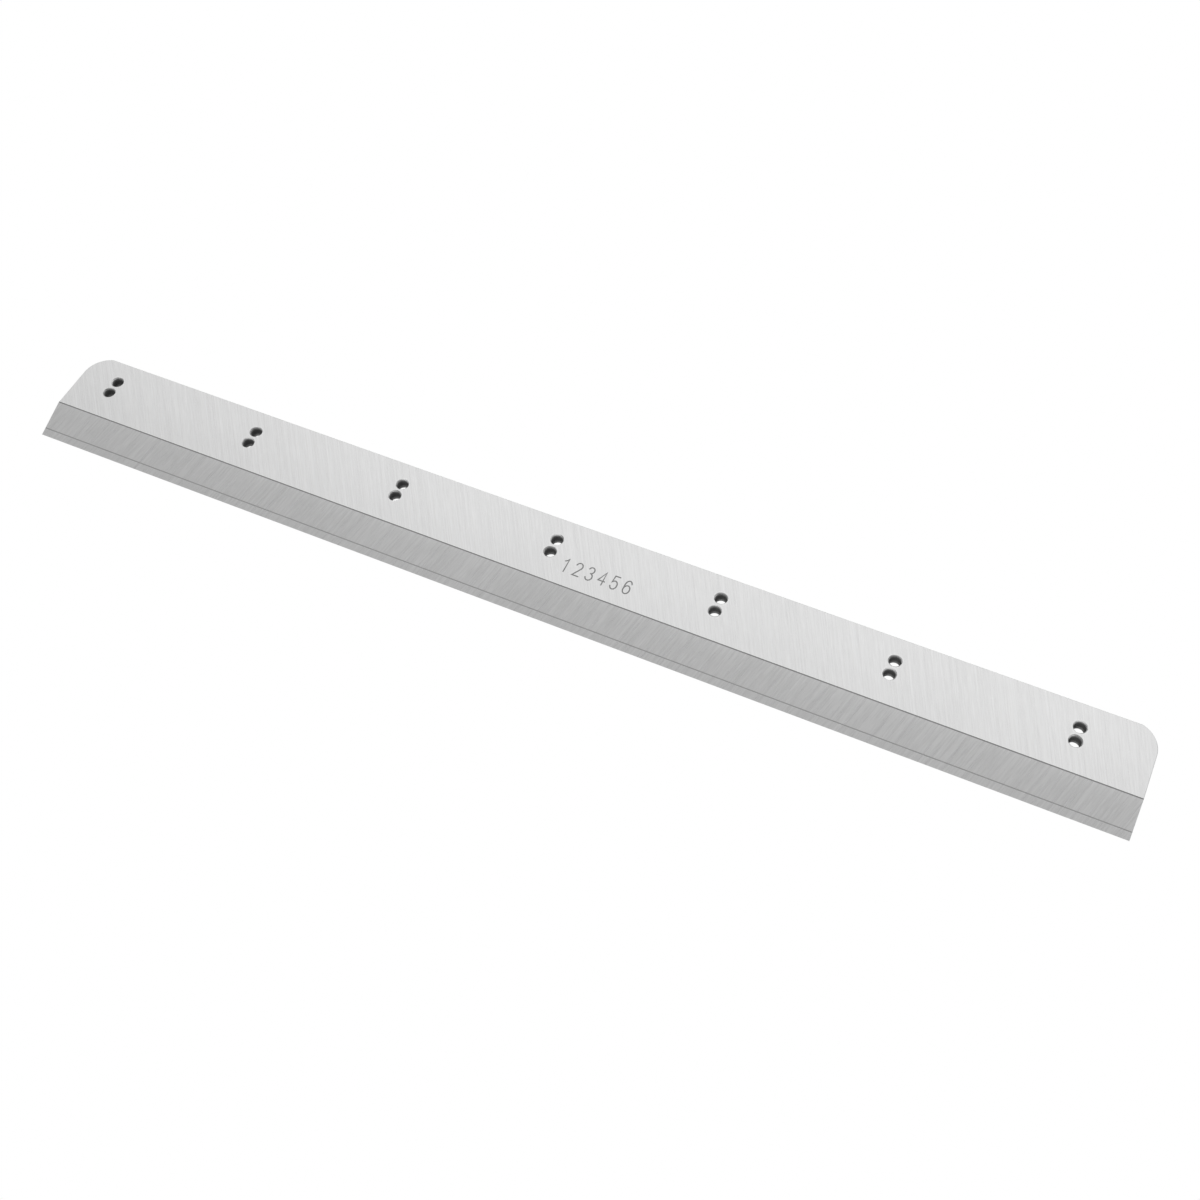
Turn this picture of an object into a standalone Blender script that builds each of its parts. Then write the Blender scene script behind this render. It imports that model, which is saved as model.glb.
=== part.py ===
# Guillotine paper-cutter knife: a ground steel backing bar with a high-speed
# steel cutting strip let into its underside.
#
# Metres, +Z up. The knife lies on its flat face, bevelled side up.
# X runs along the length, Y from the cutting edge (-Y) to the back edge (+Y).
# The origin is the centre of the underside of the whole knife.

import math

import bmesh
import bpy

# ---------------------------------------------------------------- dimensions
MM = 0.001
LENGTH = 850.0 * MM
WIDTH = 81.0 * MM              # cutting edge to back edge
THICKNESS = 9.7 * MM
BEVEL_RUN = 27.6 * MM          # width of the bevel seen from above, 19.4 degrees

CORNER_RADIUS = 20.2 * MM      # rounded back corners
CORNER_CENTRE = 61.7 * MM      # height of their centres above the cutting edge
CORNER_STEPS = 18
EDGE_BREAK = 0.3 * MM          # ground chamfer round the flat faces

STRIP_THICKNESS = 1.8 * MM     # high-speed steel strip, measured square to the flat
STRIP_WIDTH = 30.0 * MM        # cutting edge to the end of its rebate
JOINT = 0.3 * MM               # brazed joint between strip and bar

HOLES = 7                      # stations along the knife, two holes at each
PITCH = 128.0 * MM
FIRST_HOLE = 31.0 * MM         # left end to the first station
LOWER_ROW = 51.1 * MM          # cutting edge to the lower row
UPPER_ROW = 62.6 * MM          # cutting edge to the upper row
BORE_RADIUS = 4.25 * MM        # core of an M10 x 1.5 thread
MOUTH_RADIUS = 5.0 * MM        # 45 degree countersink at both faces
HOLE_SIDES = 56

STEEL = (0.66, 0.66, 0.66, 1.0)
STRIP_STEEL = (0.60, 0.60, 0.605, 1.0)


# ------------------------------------------------------------------- helpers
def clear_scene():
    for obj in list(bpy.data.objects):
        bpy.data.objects.remove(obj, do_unlink=True)


def steel(name, colour, roughness):
    material = bpy.data.materials.new(name)
    material.use_nodes = True
    shader = material.node_tree.nodes["Principled BSDF"]
    shader.inputs["Base Color"].default_value = colour
    shader.inputs["Metallic"].default_value = 1.0
    shader.inputs["Roughness"].default_value = roughness
    return material


def add_object(name, bm, material=None):
    bmesh.ops.recalc_face_normals(bm, faces=bm.faces)
    mesh = bpy.data.meshes.new(name)
    bm.to_mesh(mesh)
    bm.free()
    obj = bpy.data.objects.new(name, mesh)
    bpy.context.scene.collection.objects.link(obj)
    if material:
        mesh.materials.append(material)
    return obj


def at(along, up, z):
    """A point given by its distance from the left end, from the cutting edge and from the flat face."""
    return (along - LENGTH / 2, up - WIDTH / 2, z)


def bevel_at(z):
    """Distance of the bevel from the cutting edge at height z."""
    return BEVEL_RUN * z / THICKNESS


def back_outline():
    """The outline from the right end's straight part, over both rounded corners, to the left end's."""
    reach = math.sqrt(CORNER_RADIUS**2 - (WIDTH - CORNER_CENTRE) ** 2)
    sweep = math.atan2(WIDTH - CORNER_CENTRE, reach)
    right = []
    for i in range(CORNER_STEPS + 1):
        a = sweep * i / CORNER_STEPS
        right.append((LENGTH - CORNER_RADIUS + CORNER_RADIUS * math.cos(a),
                      CORNER_CENTRE + CORNER_RADIUS * math.sin(a)))
    left = [(LENGTH - along, up) for along, up in reversed(right)]
    return right + left


# -------------------------------------------------------------- backing bar
def backing_bar(material):
    bm = bmesh.new()
    rebate_z = STRIP_THICKNESS + JOINT
    rebate_up = STRIP_WIDTH + JOINT
    outline = back_outline()

    def pair(up, z):
        return (bm.verts.new(at(0, up, z)), bm.verts.new(at(LENGTH, up, z)))

    nose = pair(bevel_at(rebate_z), rebate_z)        # where the bevel meets the joint
    crest = pair(BEVEL_RUN, THICKNESS)               # where the bevel meets the flat
    step = pair(rebate_up, rebate_z)                 # inner corner of the rebate
    heel = pair(rebate_up, 0.0)                      # where the rebate meets the underside
    top = [bm.verts.new(at(along, up, THICKNESS)) for along, up in outline]
    low = [bm.verts.new(at(along, up, 0.0)) for along, up in outline]

    bm.faces.new([crest[0], crest[1]] + top)
    bm.faces.new([heel[1], heel[0]] + low[::-1])
    bm.faces.new([nose[0], nose[1], crest[1], crest[0]])
    bm.faces.new([step[0], step[1], nose[1], nose[0]])
    bm.faces.new([heel[0], heel[1], step[1], step[0]])
    bm.faces.new([nose[0], crest[0], top[-1], low[-1], heel[0], step[0]])
    bm.faces.new([crest[1], nose[1], step[1], heel[1], low[0], top[0]])
    for i in range(len(outline) - 1):
        bm.faces.new([top[i], low[i], low[i + 1], top[i + 1]])

    bmesh.ops.recalc_face_normals(bm, faces=bm.faces)
    rim = [crest[1]] + top + [crest[0]]
    foot = [heel[1]] + low + [heel[0]]
    edges = []
    for chain in (rim, foot):
        for a, b in zip(chain, chain[1:]):
            edges.append(bm.edges.get((a, b)))
    bmesh.ops.bevel(bm, geom=edges, offset=EDGE_BREAK, offset_type="OFFSET",
                    segments=1, profile=0.5, affect="EDGES", clamp_overlap=True)
    return add_object("backing_bar", bm, material)


def hole_cutters():
    """One turned cutter for each bolt hole: the thread's core with a countersink at both faces."""
    flare = MOUTH_RADIUS - BORE_RADIUS
    over = 1.0 * MM
    profile = [(-over, MOUTH_RADIUS + over), (flare, BORE_RADIUS),
               (THICKNESS - flare, BORE_RADIUS), (THICKNESS + over, MOUTH_RADIUS + over)]
    bm = bmesh.new()
    for station in range(HOLES):
        for up in (LOWER_ROW, UPPER_ROW):
            x, y, _ = at(FIRST_HOLE + station * PITCH, up, 0.0)
            rings = []
            for z, radius in profile:
                rings.append([bm.verts.new((x + radius * math.cos(2 * math.pi * k / HOLE_SIDES),
                                            y + radius * math.sin(2 * math.pi * k / HOLE_SIDES), z))
                              for k in range(HOLE_SIDES)])
            bm.faces.new(rings[0][::-1])
            bm.faces.new(rings[-1])
            for below, above in zip(rings, rings[1:]):
                for k in range(HOLE_SIDES):
                    n = (k + 1) % HOLE_SIDES
                    bm.faces.new([below[k], below[n], above[n], above[k]])
    obj = add_object("hole_cutters", bm)
    obj.hide_render = True
    obj.display_type = "WIRE"
    return obj


# -------------------------------------------------------------- cutting strip
def cutting_strip(material):
    section = [(0.0, 0.0), (STRIP_WIDTH, 0.0), (STRIP_WIDTH, STRIP_THICKNESS),
               (bevel_at(STRIP_THICKNESS), STRIP_THICKNESS)]
    bm = bmesh.new()
    left = [bm.verts.new(at(0, up, z)) for up, z in section]
    right = [bm.verts.new(at(LENGTH, up, z)) for up, z in section]
    bm.faces.new(left)
    bm.faces.new(right[::-1])
    for i in range(4):
        n = (i + 1) % 4
        bm.faces.new([left[n], left[i], right[i], right[n]])
    return add_object("hss_cutting_strip", bm, material)


# ---------------------------------------------------------------------- build
clear_scene()
bar_steel = steel("bar_steel", STEEL, 0.34)
edge_steel = steel("edge_steel", STRIP_STEEL, 0.30)

bar = backing_bar(bar_steel)
cutters = hole_cutters()
drill = bar.modifiers.new("bolt_holes", "BOOLEAN")
drill.operation = "DIFFERENCE"
drill.solver = "EXACT"
drill.object = cutters
cutting_strip(edge_steel)
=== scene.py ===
# The looks of a guillotine paper-cutter knife: ground steel with cross grain,
# tapped holes with real threads, a brazed-in cutting strip and a small engraved tally.
#
# Lengths are worked out in millimetres from the left end (along), from the cutting
# edge (up) and from the flat underside (z), and turned into metres when a mesh is made.

import math

import bmesh
import bpy
from mathutils import Matrix, Vector
from mathutils.geometry import delaunay_2d_cdt


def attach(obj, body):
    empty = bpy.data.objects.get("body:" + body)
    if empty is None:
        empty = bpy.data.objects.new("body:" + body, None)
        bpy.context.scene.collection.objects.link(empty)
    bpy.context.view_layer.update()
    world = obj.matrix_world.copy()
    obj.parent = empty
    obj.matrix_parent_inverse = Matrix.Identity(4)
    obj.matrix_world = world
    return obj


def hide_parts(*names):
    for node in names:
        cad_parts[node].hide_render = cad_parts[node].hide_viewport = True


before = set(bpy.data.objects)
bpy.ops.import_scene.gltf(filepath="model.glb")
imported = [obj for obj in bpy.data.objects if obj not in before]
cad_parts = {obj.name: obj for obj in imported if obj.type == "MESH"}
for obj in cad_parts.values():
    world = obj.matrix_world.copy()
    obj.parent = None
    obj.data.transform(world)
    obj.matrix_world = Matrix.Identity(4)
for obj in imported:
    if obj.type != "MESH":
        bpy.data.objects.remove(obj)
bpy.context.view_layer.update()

# ---------------------------------------------------------------- dimensions
LENGTH, WIDTH, THICK = 850.0, 81.0, 9.7
BEVEL_RUN = 27.6
STRIP_THICK, STRIP_WIDTH, JOINT = 1.8, 30.0, 0.3
CORNER_R, CORNER_UP, CORNER_STEPS = 20.2, 61.7, 24
EDGE = 0.3                                  # edge break round the flat faces
GROOVE_LOW, GROOVE_MID, GROOVE_HIGH = 26.85, 27.3, 27.65   # grinding run-out line at the crest
GROOVE_DEPTH = 0.14
HOLES, PITCH, FIRST = 7, 128.0, 31.0
ROWS = (51.1, 62.6)
MOUTH_R, CREST_R, ROOT_R, LEAD = 5.0, 4.25, 4.96, 1.5
SIDES = 56
MOUTH_DEPTH = MOUTH_R - CREST_R
BACK_BREAK = 0.20                            # the same on the underside, where it is only a broken edge
FOOT_R = CREST_R + BACK_BREAK
# One turn of the thread's outline: share of the lead, radius
THREAD = ((0.0, CREST_R), (0.28, CREST_R), (0.429, (CREST_R + ROOT_R) / 2), (0.5775, ROOT_R),
          (0.7025, ROOT_R), (0.851, (CREST_R + ROOT_R) / 2))
FINER = 3                                   # extra steps of the outline close to the mouths


def bevel_z(up):
    return THICK * up / BEVEL_RUN


def bevel_up(z):
    return BEVEL_RUN * z / THICK


# --------------------------------------------------------------------- meshes
class Shell:
    """Collects faces whose corners are shared where they meet, each with the name of its finish."""

    def __init__(self):
        self.points, self.index, self.faces, self.finish = [], {}, [], []

    def at(self, along, up, z):
        key = (round(along, 4), round(up, 4), round(z, 4))
        if key not in self.index:
            self.index[key] = len(self.points)
            self.points.append((along, up, z))
        return self.index[key]

    def face(self, finish, *corners):
        ids = []
        for c in corners:
            i = c if isinstance(c, int) else self.at(*c)
            if not ids or ids[-1] != i:
                ids.append(i)
        if len(ids) > 2 and ids[0] == ids[-1]:
            ids.pop()
        if len(ids) > 2:
            self.faces.append(ids)
            self.finish.append(finish)

    def build(self, name, materials, sharp=28.0):
        names = list(materials)
        bm = bmesh.new()
        verts = [bm.verts.new(((a - LENGTH / 2) / 1000, (u - WIDTH / 2) / 1000, z / 1000)) for a, u, z in self.points]
        for ids, finish in zip(self.faces, self.finish):
            f = bm.faces.new([verts[i] for i in ids])
            f.material_index = names.index(finish)
        bmesh.ops.triangulate(bm, faces=[f for f in bm.faces if len(f.verts) > 4])
        bmesh.ops.recalc_face_normals(bm, faces=bm.faces)
        mesh = bpy.data.meshes.new(name)
        bm.to_mesh(mesh)
        bm.free()
        for finish in names:
            mesh.materials.append(materials[finish])
        mesh.shade_smooth()
        mesh.set_sharp_from_angle(angle=math.radians(sharp))
        obj = bpy.data.objects.new(name, mesh)
        bpy.context.scene.collection.objects.link(obj)
        return obj


def rounded_back(inset):
    """The outline from the right end over both back corners to the left end, moved inwards by inset."""
    radius, top = CORNER_R - inset, WIDTH - inset
    sweep = math.asin((top - CORNER_UP) / radius)
    right = [(LENGTH - CORNER_R + radius * math.cos(sweep * i / CORNER_STEPS),
              CORNER_UP + radius * math.sin(sweep * i / CORNER_STEPS)) for i in range(CORNER_STEPS + 1)]
    return right + [(LENGTH - a, u) for a, u in reversed(right)]


def circle(along, up, radius):
    return [(along + radius * math.cos(2 * math.pi * k / SIDES), up + radius * math.sin(2 * math.pi * k / SIDES))
            for k in range(SIDES)]


def inside(point, polygon):
    """Winding number of a closed polygon round a point, not zero inside it."""
    x, y = point
    turns = 0
    for (ax, ay), (bx, by) in zip(polygon, polygon[1:] + polygon[:1]):
        side = (bx - ax) * (y - ay) - (x - ax) * (by - ay)
        if ay <= y < by and side > 0:
            turns += 1
        elif by <= y < ay and side < 0:
            turns -= 1
    return turns != 0


def fill(shell, outline, holes, z, finish, strokes=(), depth=0.0, floor=None):
    """Fills a flat outline with round holes, and sinks the strokes' area to a floor at the given depth."""
    loops = [outline] + list(holes) + list(strokes)
    points, edges = [], []
    for loop in loops:
        first = len(points)
        points += loop
        edges += [(first + i, first + (i + 1) % len(loop)) for i in range(len(loop))]
    out_points, _, triangles, origin, _, _ = delaunay_2d_cdt([Vector(p) for p in points], edges, [], 0, 1e-5, True)
    where = [points[o[0]] if o else (p.x, p.y) for p, o in zip(out_points, origin)]
    boxes = [(min(p[0] for p in s), max(p[0] for p in s), min(p[1] for p in s), max(p[1] for p in s)) for s in strokes]
    edge_owner = {}
    for t in triangles:
        cx = sum(where[i][0] for i in t) / 3
        cy = sum(where[i][1] for i in t) / 3
        if not inside((cx, cy), outline):
            continue
        if any(math.hypot(cx - h[0], cy - h[1]) < MOUTH_R for h in HOLE_CENTRES):
            continue
        sunk = any(b[0] <= cx <= b[1] and b[2] <= cy <= b[3] and inside((cx, cy), s) for s, b in zip(strokes, boxes))
        low = z - depth if sunk else z
        shell.face(floor if sunk else finish, *[(where[i][0], where[i][1], low) for i in t])
        for a, b in zip(t, list(t[1:]) + [t[0]]):
            edge_owner.setdefault((min(a, b), max(a, b)), []).append(sunk)
    for (a, b), owners in edge_owner.items():
        if len(owners) == 2 and owners[0] != owners[1]:
            (ax, ay), (bx, by) = where[a], where[b]
            shell.face(floor, (ax, ay, z), (bx, by, z), (bx, by, z - depth), (ax, ay, z - depth))


HOLE_CENTRES = [(FIRST + PITCH * i, up) for i in range(HOLES) for up in ROWS]


def tapped_hole(shell, along, up, start):
    """A right-hand thread through the whole thickness, with a countersink above and a broken edge below."""
    outline = []
    for (s0, r0), (s1, r1) in zip(THREAD, THREAD[1:] + ((1.0, CREST_R),)):
        outline += [(s0 + (s1 - s0) * k / FINER, r0 + (r1 - r0) * k / FINER) for k in range(FINER)]
    turn = len(outline)

    def surface(*corners):
        """On the countersink's cone the finish is that of the mouth, elsewhere that of the thread."""
        off = max(math.hypot(c[0] - along, c[1] - up) - MOUTH_R + min(c[2] + MOUTH_DEPTH - BACK_BREAK, THICK - c[2]) for c in corners)
        shell.face("mouth" if off < 0.02 else "thread", *corners)

    def zip_up(left, right):
        """Faces between two columns of points, each from the bottom up."""
        i = j = 0
        while i < len(left) - 1 or j < len(right) - 1:
            if len(left) - i == len(right) - j == 2:
                surface(left[i], right[j], right[j + 1], left[i + 1])
                return
            if j == len(right) - 1 or (i < len(left) - 1 and left[i + 1][2] <= right[j + 1][2]):
                surface(left[i], right[j], left[i + 1])
                i += 1
            else:
                surface(left[i], right[j], right[j + 1])
                j += 1

    columns = []
    for i in range(SIDES):
        angle = 2 * math.pi * i / SIDES
        column = {}
        for n in range(-2, int(THICK / LEAD) + 2):
            for j, (share, radius) in enumerate(outline):
                z = LEAD * (n + share + i / SIDES + start)
                depth = min(z + MOUTH_DEPTH - BACK_BREAK, THICK - z)
                if min(z, depth) > 0.03 and (j % FINER == 0 or depth < MOUTH_DEPTH + 0.12):
                    r = max(radius, MOUTH_R - depth)
                    column[n * turn + j] = (along + r * math.cos(angle), up + r * math.sin(angle), z)
        foot = (along + FOOT_R * math.cos(angle), up + FOOT_R * math.sin(angle), 0.0)
        head = (along + MOUTH_R * math.cos(angle), up + MOUTH_R * math.sin(angle), THICK)
        columns.append((column, foot, head))
    for i in range(SIDES):
        here, foot, head = columns[i]
        there, foot2, head2 = columns[(i + 1) % SIDES]
        if i == SIDES - 1:
            there = {k - turn: p for k, p in there.items()}
        both = sorted(set(here) & set(there))
        a, b = both[0], both[-1]
        zip_up([foot] + [here[k] for k in sorted(here) if k <= a], [foot2] + [there[k] for k in sorted(there) if k <= a])
        for k0, k1 in zip(both, both[1:]):
            zip_up([here[k] for k in sorted(here) if k0 <= k <= k1], [there[k] for k in sorted(there) if k0 <= k <= k1])
        zip_up([here[k] for k in sorted(here) if k >= b] + [head], [there[k] for k in sorted(there) if k >= b] + [head2])


# ------------------------------------------------------------ engraved tally
def arc(cx, cy, rx, ry, a0, a1, steps):
    return [(cx + rx * math.cos(math.radians(a0 + (a1 - a0) * i / steps)),
             cy + ry * math.sin(math.radians(a0 + (a1 - a0) * i / steps))) for i in range(steps + 1)]


# Centre lines of plain figures on a cell 0.44 wide and 1 high
FIGURES = {
    "1": [[(0.06, 0.79), (0.16, 0.85), (0.26, 1.0), (0.26, 0.0)]],
    "2": [arc(0.22, 0.75, 0.21, 0.25, 170, -38, 14) + [(0.02, 0.0), (0.44, 0.0)]],
    "3": [arc(0.21, 0.765, 0.19, 0.235, 160, -88, 14), arc(0.21, 0.265, 0.22, 0.265, 88, -162, 16)],
    "4": [[(0.33, 0.0), (0.33, 1.0), (0.0, 0.3), (0.45, 0.3)]],
    "5": [[(0.41, 1.0), (0.08, 1.0), (0.03, 0.5)] + arc(0.215, 0.32, 0.215, 0.32, 128, -160, 16)],
    "6": [arc(0.235, 0.62, 0.215, 0.38, 28, 180, 12) + arc(0.235, 0.31, 0.215, 0.31, 180, 180, 1)[:1],
          arc(0.235, 0.31, 0.215, 0.31, 180, 540, 26)],
}


def outline_of(line, width):
    """The closed outline of a stroke of the given width along a line, with round ends."""
    closed = math.dist(line[0], line[-1]) < 1e-6
    half = width / 2
    if closed:
        line = line[:-1]
    n = len(line)
    left, right = [], []
    for i, (x, y) in enumerate(line):
        before = line[(i - 1) % n] if closed or i else None
        after = line[(i + 1) % n] if closed or i < n - 1 else None
        dirs = []
        if before:
            d = math.dist(before, (x, y))
            dirs.append(((x - before[0]) / d, (y - before[1]) / d))
        if after:
            d = math.dist(after, (x, y))
            dirs.append(((after[0] - x) / d, (after[1] - y) / d))
        tx, ty = sum(d[0] for d in dirs), sum(d[1] for d in dirs)
        t = math.hypot(tx, ty)
        tx, ty = tx / t, ty / t
        stretch = 1.0 / max(0.45, tx * dirs[0][0] + ty * dirs[0][1])
        left.append((x - ty * half * stretch, y + tx * half * stretch))
        right.append((x + ty * half * stretch, y - tx * half * stretch))
    if closed:
        return left, right
    ends = []
    for (x, y), a, b in ((line[-1], left[-1], right[-1]), (line[0], right[0], left[0])):
        begin = math.atan2(a[1] - y, a[0] - x)
        ends.append([(x + half * math.cos(begin - math.pi * k / 6), y + half * math.sin(begin - math.pi * k / 6))
                     for k in range(1, 6)])
    return left + ends[0] + right[::-1] + ends[1]


def tally(text, along, up, height, step, width):
    """Stroke outlines of evenly spaced figures, upright with the cutting edge at their foot."""
    strokes = []
    for i, figure in enumerate(text):
        for line in FIGURES[figure]:
            placed = [(along + i * step + x * height, up + y * height) for x, y in line]
            shape = outline_of(placed, width)
            if isinstance(shape, tuple):         # a ring: cut open into two halves
                outer, inner = shape
                n = len(outer)
                m = n // 2
                strokes.append(outer[: m + 1] + inner[: m + 1][::-1])
                strokes.append(outer[m:] + outer[:1] + (inner[m:] + inner[:1])[::-1])
            else:
                strokes.append(shape)
    return strokes


# ------------------------------------------------------------------ materials
class Nodes:
    """Short calls for building a material's nodes."""

    def __init__(self, name):
        self.material = bpy.data.materials.new(name)
        self.material.use_nodes = True
        self.tree = self.material.node_tree
        self.shader = self.tree.nodes["Principled BSDF"]
        self.place = self.tree.nodes.new("ShaderNodeTexCoord")
        self.object = self.place.outputs["Object"]
        split = self.tree.nodes.new("ShaderNodeSeparateXYZ")
        self.link(self.object, split.inputs[0])
        self.x, self.y, self.z = split.outputs

    def link(self, a, b):
        self.tree.links.new(a, b)

    def math(self, op, a, b=None, c=None, clamp=False):
        node = self.tree.nodes.new("ShaderNodeMath")
        node.operation = op
        node.use_clamp = clamp
        for socket, value in zip(node.inputs, (a, b, c)):
            if value is None:
                continue
            if isinstance(value, (int, float)):
                socket.default_value = value
            else:
                self.link(value, socket)
        return node.outputs[0]

    def vector(self, x, y, z):
        node = self.tree.nodes.new("ShaderNodeCombineXYZ")
        for socket, value in zip(node.inputs, (x, y, z)):
            if isinstance(value, (int, float)):
                socket.default_value = value
            else:
                self.link(value, socket)
        return node.outputs[0]

    def noise(self, vector, scale=1.0, detail=2.0, rough=0.5, distort=0.0):
        node = self.tree.nodes.new("ShaderNodeTexNoise")
        node.noise_dimensions = "3D"
        self.link(vector, node.inputs["Vector"])
        node.inputs["Scale"].default_value = scale
        node.inputs["Detail"].default_value = detail
        node.inputs["Roughness"].default_value = rough
        node.inputs["Distortion"].default_value = distort
        return node.outputs["Fac"]

    def range(self, value, a, b, c=0.0, d=1.0, smooth=False):
        node = self.tree.nodes.new("ShaderNodeMapRange")
        node.interpolation_type = "SMOOTHSTEP" if smooth else "LINEAR"
        self.link(value, node.inputs[0])
        for socket, v in zip(node.inputs[1:5], (a, b, c, d)):
            socket.default_value = v
        return node.outputs[0]

    def grey(self, value):
        node = self.tree.nodes.new("ShaderNodeCombineColor")
        for socket in node.inputs:
            self.link(value, socket)
        return node.outputs[0]

    def bump(self, height, strength, distance, under=None):
        node = self.tree.nodes.new("ShaderNodeBump")
        node.inputs["Strength"].default_value = strength
        node.inputs["Distance"].default_value = distance
        self.link(height, node.inputs["Height"])
        if under is not None:
            self.link(under, node.inputs["Normal"])
        return node.outputs[0]


def across(n, lean):
    """A coordinate in metres across the grain, whose lines all run to one far point, or stand at one angle."""
    if isinstance(lean, tuple):
        far_x, far_y = lean
        dy = n.math("SUBTRACT", n.y, far_y)
        return n.math("MULTIPLY", n.math("DIVIDE", n.math("SUBTRACT", n.x, far_x), dy), -far_y)
    return n.math("MULTIPLY_ADD", n.y, math.tan(math.radians(lean)), n.x)


def distance_to_hole(n):
    """Metres to the axis of the nearest hole."""
    station = n.math("SUBTRACT", n.x, (FIRST - LENGTH / 2) / 1000)
    station = n.math("ADD", station, PITCH / 2000)
    station = n.math("SUBTRACT", n.math("FLOORED_MODULO", station, PITCH / 1000), PITCH / 2000)
    near = None
    for up in ROWS:
        dy = n.math("SUBTRACT", n.y, (up - WIDTH / 2) / 1000)
        d = n.math("SQRT", n.math("ADD", n.math("MULTIPLY", station, station), n.math("MULTIPLY", dy, dy)))
        near = d if near is None else n.math("MINIMUM", near, d)
    return near


def ground(name, base, lean, long_amount, short_amount, fine_amount, roughness, seed, rims=False, bump=0.35, painted_shade=None, below=None):
    """Steel from a surface grinder: long and short streaks, fine scratches, and slow changes of tone."""
    n = Nodes(name)
    u = across(n, lean)
    if below:                                   # the underside has the grain of the bar's underside
        normal = n.tree.nodes.new("ShaderNodeSeparateXYZ")
        n.link(n.place.outputs["Normal"], normal.inputs[0])
        underside = n.math("LESS_THAN", normal.outputs[2], -0.5)
        u = n.math("MULTIPLY_ADD", n.math("SUBTRACT", across(n, below), u), underside, u)
    long_streaks = n.noise(n.vector(n.math("MULTIPLY", u, 900.0), n.math("MULTIPLY", n.y, 14.0), seed), detail=1.0)
    short_streaks = n.noise(n.vector(n.math("MULTIPLY", u, 1050.0), n.math("MULTIPLY", n.y, 90.0), seed + 7.3), detail=1.5)
    scratches = n.noise(n.vector(n.math("MULTIPLY", u, 5200.0), n.math("MULTIPLY", n.y, 160.0), seed + 3.1), detail=3.0, rough=0.6)
    slow = n.noise(n.vector(n.math("MULTIPLY", n.x, 9.0), n.math("MULTIPLY", n.y, 5.0), seed), detail=1.0)
    tone = n.math("MULTIPLY_ADD", n.math("SUBTRACT", long_streaks, 0.5), long_amount, 1.0)
    tone = n.math("MULTIPLY_ADD", n.math("SUBTRACT", short_streaks, 0.5), short_amount, tone)
    tone = n.math("MULTIPLY_ADD", n.math("SUBTRACT", scratches, 0.5), fine_amount, tone)
    tone = n.math("MULTIPLY_ADD", n.math("SUBTRACT", slow, 0.5), 0.05, tone)
    if painted_shade:                                   # painted shade: the flat a little darker towards the bevel
        y0, y1, drop = painted_shade
        tone = n.math("ADD", tone, n.range(n.y, y0, y1, -drop, 0.0, smooth=True))
    rough = n.math("MULTIPLY_ADD", n.math("SUBTRACT", scratches, 0.5), 0.16, roughness)
    rough = n.math("MULTIPLY_ADD", n.math("SUBTRACT", long_streaks, 0.5), 0.10, rough)
    if rims:
        rim = n.range(distance_to_hole(n), 0.0051, 0.0066, 1.0, 0.0, smooth=True)
        patchy = n.noise(n.object, scale=420.0, detail=2.0)
        rim = n.math("MULTIPLY", rim, n.range(patchy, 0.35, 0.65))
        tone = n.math("MULTIPLY_ADD", rim, 0.03, tone)
        rough = n.math("MULTIPLY_ADD", rim, -0.05, rough)
    n.link(n.grey(n.math("MULTIPLY", tone, base)), n.shader.inputs["Base Color"])
    n.link(rough, n.shader.inputs["Roughness"])
    height = n.math("ADD", scratches, n.math("MULTIPLY", short_streaks, 0.5))
    n.link(n.bump(height, bump, 0.00001), n.shader.inputs["Normal"])
    n.shader.inputs["Metallic"].default_value = 1.0
    return n.material


def sawn_edges(name, base, roughness):
    """Back edge and ends, ground along their length."""
    n = Nodes(name)
    along = n.vector(n.math("MULTIPLY", n.x, 40.0), n.math("MULTIPLY", n.y, 40.0), n.math("MULTIPLY", n.z, 2600.0))
    lines = n.noise(along, detail=3.0, rough=0.6)
    spots = n.noise(n.object, scale=160.0, detail=3.0)
    tone = n.math("MULTIPLY_ADD", n.math("SUBTRACT", lines, 0.5), 0.16, 1.0)
    tone = n.math("MULTIPLY_ADD", n.math("SUBTRACT", spots, 0.5), 0.10, tone)
    n.link(n.grey(n.math("MULTIPLY", tone, base)), n.shader.inputs["Base Color"])
    n.link(n.math("MULTIPLY_ADD", n.math("SUBTRACT", lines, 0.5), 0.2, roughness), n.shader.inputs["Roughness"])
    n.link(n.bump(lines, 0.4, 0.00001), n.shader.inputs["Normal"])
    n.shader.inputs["Metallic"].default_value = 1.0
    return n.material


def turned(name, base, roughness):
    """The countersinks: fine rings left by the cutter, and small bright and dull patches."""
    n = Nodes(name)
    d = distance_to_hole(n)
    rings = n.noise(n.vector(n.math("MULTIPLY", d, 14000.0), n.math("MULTIPLY", n.x, 60.0), n.math("MULTIPLY", n.y, 60.0)), detail=2.0)
    patches = n.noise(n.object, scale=500.0, detail=3.0)
    tone = n.math("MULTIPLY_ADD", n.math("SUBTRACT", rings, 0.5), 0.22, 1.0)
    tone = n.math("MULTIPLY_ADD", n.math("SUBTRACT", patches, 0.5), 0.25, tone)
    n.link(n.grey(n.math("MULTIPLY", tone, base)), n.shader.inputs["Base Color"])
    n.link(n.math("MULTIPLY_ADD", n.math("SUBTRACT", patches, 0.5), 0.2, roughness), n.shader.inputs["Roughness"])
    n.link(n.bump(rings, 0.4, 0.00001), n.shader.inputs["Normal"])
    n.shader.inputs["Metallic"].default_value = 1.0
    return n.material


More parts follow.
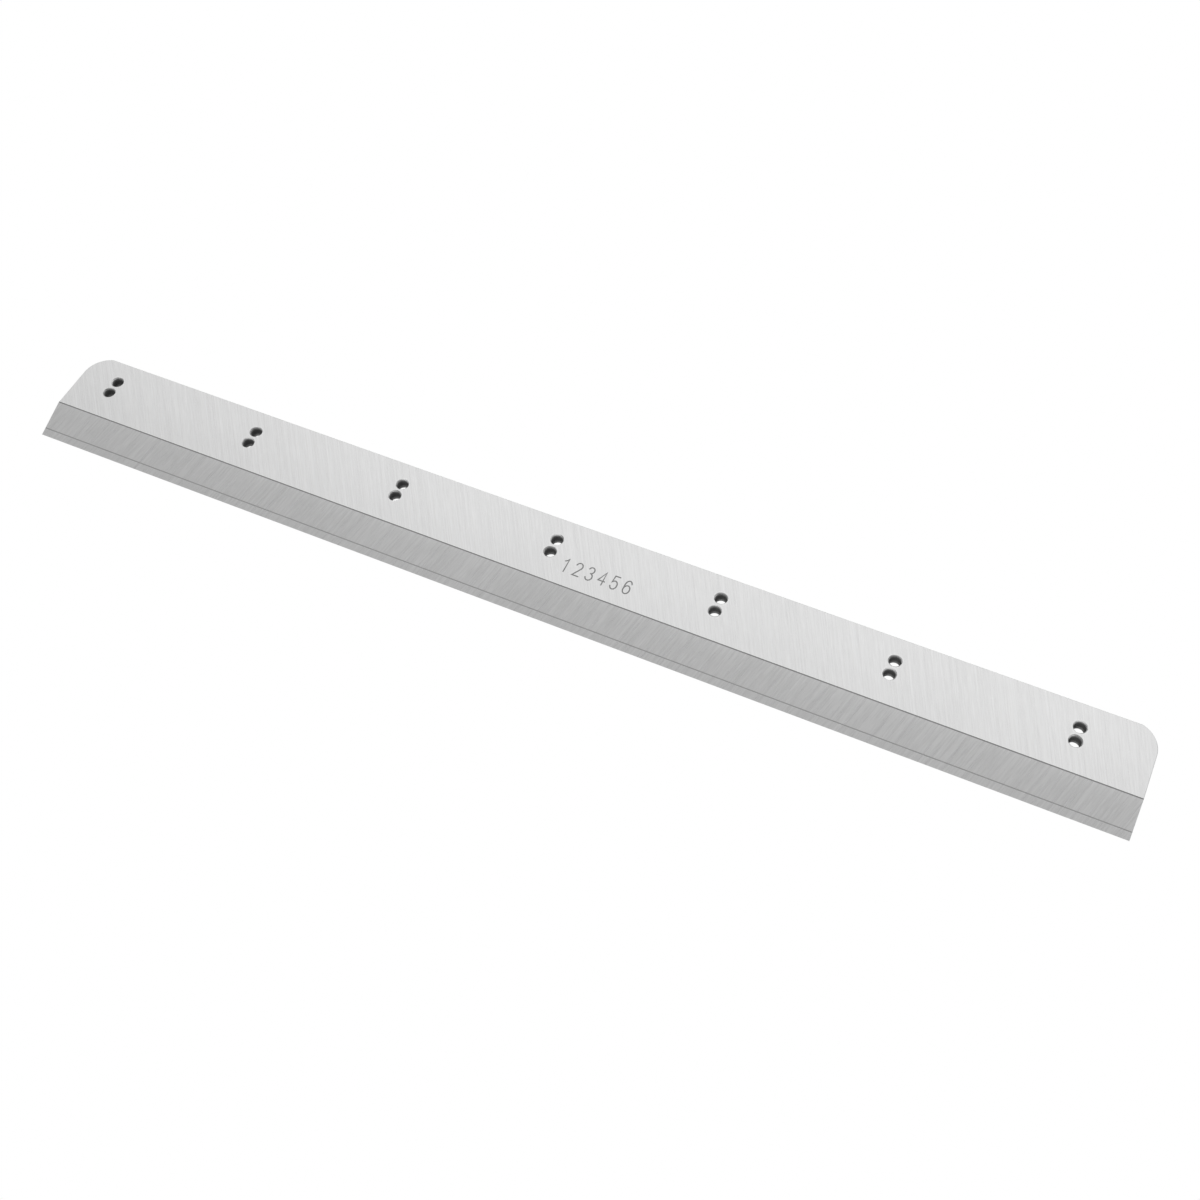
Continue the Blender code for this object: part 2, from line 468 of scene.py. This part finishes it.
def dull(name, base, roughness, scale, amount, metallic=1.0, bump=0.5, distance=0.00003, painted_depth_shade=0.0):
    """Dark worked steel: cut threads, engraving and joints, with a mottled film in them. In the threads and in the
    crest groove the dark colour is painted shade.
    """
    n = Nodes(name)
    mottle = n.noise(n.object, scale=scale, detail=4.0, rough=0.65)
    fine = n.noise(n.object, scale=scale * 6.0, detail=2.0)
    tone = n.math("MULTIPLY_ADD", n.math("SUBTRACT", mottle, 0.5), amount, 1.0)
    tone = n.math("MULTIPLY_ADD", n.math("SUBTRACT", fine, 0.5), amount * 0.5, tone)
    if painted_depth_shade:                                    # painted shade: darker at the middle of the hole's depth, brighter towards both mouths
        middle = n.math("ABSOLUTE", n.math("SUBTRACT", n.z, THICK / 2000))
        tone = n.math("MULTIPLY", tone, n.range(middle, 0.0012, 0.0046, 1.0, 1.0 + painted_depth_shade, smooth=True))
    n.link(n.grey(n.math("MULTIPLY", tone, base)), n.shader.inputs["Base Color"])
    n.link(n.math("MULTIPLY_ADD", n.math("SUBTRACT", mottle, 0.5), 0.25, roughness), n.shader.inputs["Roughness"])
    n.link(n.bump(fine, bump, distance), n.shader.inputs["Normal"])
    n.shader.inputs["Metallic"].default_value = metallic
    return n.material


FLAT_LEAN = (1.032, -1.7165)      # the grain of the flat faces runs to this far point
BEVEL_LEAN = -19.0                # degrees from square to the edge

finishes = {
    "flat": ground("ground_flat", 0.658, FLAT_LEAN, 0.24, 0.14, 0.17, 0.30, 1.7, rims=True, painted_shade=(-0.0065, 0.0215, 0.020)),
    "bevel": ground("ground_bevel", 0.654, BEVEL_LEAN, 0.20, 0.22, 0.32, 0.30, 11.3),
    "edge": sawn_edges("ground_edges", 0.62, 0.36),
    "mouth": turned("countersink", 0.56, 0.36),
    # painted shade: the crest groove's dark base stands in for the shade in the groove
    "crest": dull("crest_groove_painted_shade", 0.23, 0.45, 900.0, 0.3),
    # painted shade: the threads' very dark base and their darkening towards the middle of the hole stand in for the
    # shade inside the holes
    "thread": dull("tapped_thread_painted_shade", 0.075, 0.38, 700.0, 0.9, painted_depth_shade=3.6),
    "engraving": dull("engraving", 0.26, 0.55, 1100.0, 0.3),
}
strip_finish = ground("ground_strip", 0.641, BEVEL_LEAN, 0.20, 0.22, 0.30, 0.30, 11.3, below=FLAT_LEAN)
braze_finish = dull("braze", 0.37, 0.42, 800.0, 0.25)


# ---------------------------------------------------------------- the knife bar
def knife_bar():
    s = Shell()
    nose_z = STRIP_THICK + JOINT
    heel = STRIP_WIDTH + JOINT
    outer, inner = rounded_back(0.0), rounded_back(EDGE)
    start_up, heel_up = GROOVE_HIGH + 0.35, heel + 0.35      # where the edge breaks begin
    groove_bottom = bevel_z(GROOVE_MID) - GROOVE_DEPTH

    top = [(0.0, GROOVE_HIGH), (LENGTH, GROOVE_HIGH), (LENGTH - EDGE, start_up)] + inner + [(EDGE, start_up)]
    fill(s, top, [circle(a, u, MOUTH_R) for a, u in HOLE_CENTRES], THICK, "flat",
         tally("123456", 428.2, 39.0, 11.3, 9.6, 0.95), 0.13, "engraving")
    low = [(0.0, heel), (LENGTH, heel), (LENGTH - EDGE, heel_up)] + inner + [(EDGE, heel_up)]
    fill(s, low, [circle(a, u, FOOT_R) for a, u in HOLE_CENTRES], 0.0, "flat")

    for level, drop, begin, first in ((THICK, -EDGE, GROOVE_HIGH, start_up), (0.0, EDGE, heel, heel_up)):
        rim = [(LENGTH - EDGE, first)] + inner + [(EDGE, first)]
        foot = [(LENGTH, first)] + outer + [(0.0, first)]
        for i in range(len(rim) - 1):
            s.face("edge", rim[i] + (level,), foot[i] + (level + drop,), foot[i + 1] + (level + drop,), rim[i + 1] + (level,))
        s.face("edge", (LENGTH, begin, level), foot[0] + (level + drop,), rim[0] + (level,))
        s.face("edge", (0.0, begin, level), foot[-1] + (level + drop,), rim[-1] + (level,))
    for i in range(len(outer) - 1):
        a, b = outer[i], outer[i + 1]
        s.face("edge", a + (EDGE,), a + (THICK - EDGE,), b + (THICK - EDGE,), b + (EDGE,))

    section = [(bevel_up(nose_z), nose_z), (GROOVE_LOW, bevel_z(GROOVE_LOW)), (GROOVE_MID, groove_bottom),
               (GROOVE_HIGH, THICK)]
    for (u0, z0), (u1, z1), finish in zip(section, section[1:], ("bevel", "crest", "crest")):
        s.face(finish, (0.0, u0, z0), (LENGTH, u0, z0), (LENGTH, u1, z1), (0.0, u1, z1))
    s.face("edge", (0.0, bevel_up(nose_z), nose_z), (LENGTH, bevel_up(nose_z), nose_z), (LENGTH, heel, nose_z), (0.0, heel, nose_z))
    s.face("edge", (0.0, heel, nose_z), (LENGTH, heel, nose_z), (LENGTH, heel, 0.0), (0.0, heel, 0.0))
    for x in (0.0, LENGTH):
        s.face("edge", *[(x, u, z) for u, z in section], (x, start_up, THICK - EDGE), (x, CORNER_UP, THICK - EDGE),
               (x, CORNER_UP, EDGE), (x, heel_up, EDGE), (x, heel, 0.0), (x, heel, nose_z))

    for k, (along, up) in enumerate(HOLE_CENTRES):
        tapped_hole(s, along, up, (k * 0.37) % 1.0)
    return s.build("knife_bar", finishes)


def braze_layer():
    """The thin layer of braze between strip and bar, just below the ground faces."""
    s = Shell()
    clear, sink = 0.005, 0.03
    low, high = STRIP_THICK + clear, STRIP_THICK + JOINT - clear
    section = [(bevel_up(low) + 2.8 * sink, low), (STRIP_WIDTH + clear, low), (STRIP_WIDTH + clear, sink),
               (STRIP_WIDTH + JOINT - clear, sink), (STRIP_WIDTH + JOINT - clear, high), (bevel_up(high) + 2.8 * sink, high)]
    x0, x1 = sink, LENGTH - sink
    for (u0, z0), (u1, z1) in zip(section, section[1:] + section[:1]):
        s.face("braze", (x0, u0, z0), (x1, u0, z0), (x1, u1, z1), (x0, u1, z1))
    for x in (x0, x1):
        s.face("braze", *[(x, u, z) for u, z in section])
    return s.build("braze_layer", {"braze": braze_finish})


bar = knife_bar()
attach(bar, "root")
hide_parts("backing_bar")

braze = braze_layer()
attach(braze, "root")

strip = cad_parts["hss_cutting_strip"]
strip.data.materials.clear()
strip.data.materials.append(strip_finish)

# ---------------------------------------------------------------------- stage
scene = bpy.context.scene
scene.view_settings.view_transform = "Standard"

floor_mesh = bpy.data.meshes.new("floor")
bm = bmesh.new()
bmesh.ops.create_grid(bm, x_segments=1, y_segments=1, size=20.0)
bm.to_mesh(floor_mesh)
bm.free()
floor = bpy.data.objects.new("floor", floor_mesh)
floor.location = (0.0, 0.0, -0.0002)
scene.collection.objects.link(floor)
floor.visible_diffuse = floor.visible_glossy = False       # the knife is lit by the studio alone
light_table = bpy.data.materials.new("light_table")
light_table.use_nodes = True
tree = light_table.node_tree
tree.nodes.remove(tree.nodes["Principled BSDF"])
glow = tree.nodes.new("ShaderNodeEmission")
glow.inputs["Color"].default_value = (1.0, 1.0, 1.0, 1.0)
glow.inputs["Strength"].default_value = 1.0
under = tree.nodes.new("ShaderNodeNewGeometry")
clear = tree.nodes.new("ShaderNodeBsdfTransparent")
mix = tree.nodes.new("ShaderNodeMixShader")
tree.links.new(under.outputs["Backfacing"], mix.inputs[0])
tree.links.new(glow.outputs[0], mix.inputs[1])
tree.links.new(clear.outputs[0], mix.inputs[2])
tree.links.new(mix.outputs[0], tree.nodes["Material Output"].inputs["Surface"])
floor_mesh.materials.append(light_table)

# A soft white studio: brightest overhead behind the knife, white at the horizon, dim below it
world = bpy.data.worlds.new("studio")
scene.world = world
world.use_nodes = True
tree = world.node_tree
background = tree.nodes["Background"]
background.inputs["Color"].default_value = (1.0, 1.0, 1.0, 1.0)
direction = tree.nodes.new("ShaderNodeTexCoord")
split = tree.nodes.new("ShaderNodeSeparateXYZ")
tree.links.new(direction.outputs["Generated"], split.inputs[0])


def ramp(value, start, end, low, high):
    node = tree.nodes.new("ShaderNodeMapRange")
    node.interpolation_type = "SMOOTHSTEP"
    tree.links.new(value, node.inputs[0])
    for socket, v in zip(node.inputs[1:5], (start, end, low, high)):
        socket.default_value = v
    return node.outputs[0]


def combine(op, *values):
    node = tree.nodes.new("ShaderNodeMath")
    node.operation = op
    for socket, v in zip(node.inputs, values):
        if isinstance(v, float):
            socket.default_value = v
        else:
            tree.links.new(v, socket)
    return node.outputs[0]


def product(*values):
    out = values[0]
    for v in values[1:]:
        out = combine("MULTIPLY", out, v)
    return out


along, depth, height = split.outputs
sky = product(ramp(depth, 0.14, 0.68, 0.655, 1.35), ramp(along, -0.85, -0.35, 0.90, 1.0), ramp(depth, 0.62, 0.86, 1.0, 0.62))
front = product(ramp(depth, -0.75, -0.45, 1.0, 0.0), ramp(height, 0.30, 0.42, 0.0, 0.95))     # lights the far side of each countersink
sky = combine("MULTIPLY", sky, combine("ADD", front, 1.0))
horizon = ramp(height, 0.12, 0.50, 1.0, 0.0)
sky = combine("ADD", combine("MULTIPLY", sky, combine("SUBTRACT", 1.0, horizon)), horizon)
strength = combine("MULTIPLY", sky, ramp(height, -0.10, -0.01, 0.38, 1.0))
tree.links.new(strength, background.inputs["Strength"])

# A large soft box on the front right, which reaches into the holes and the engraving
lamp_data = bpy.data.lights.new("soft_box", "AREA")
lamp_data.shape, lamp_data.size, lamp_data.energy = "SQUARE", 1.3, 2.0
lamp = bpy.data.objects.new("soft_box", lamp_data)
lamp_place = Vector((1.95, -1.35, 0.85))
lamp.matrix_world = Matrix.Translation(lamp_place) @ (-lamp_place).to_track_quat("-Z", "Y").to_matrix().to_4x4()
lamp.visible_camera = False
scene.collection.objects.link(lamp)

# --------------------------------------------------------------------- camera
cam_data = bpy.data.cameras.new("camera")
cam_data.lens, cam_data.sensor_width = 47.798, 36.0
cam_data.clip_start, cam_data.clip_end = 0.01, 100.0
camera = bpy.data.objects.new("camera", cam_data)
place = Vector((0.33353, -0.57157, 0.93650))
back = (place - Vector((0.03760, -0.00748, 0.0))).normalized()
turn = (-back).to_track_quat("-Z", "Y").to_matrix().to_4x4() @ Matrix.Rotation(math.radians(-3.334), 4, "Z")
camera.matrix_world = Matrix.Translation(place) @ turn
scene.collection.objects.link(camera)
scene.camera = camera
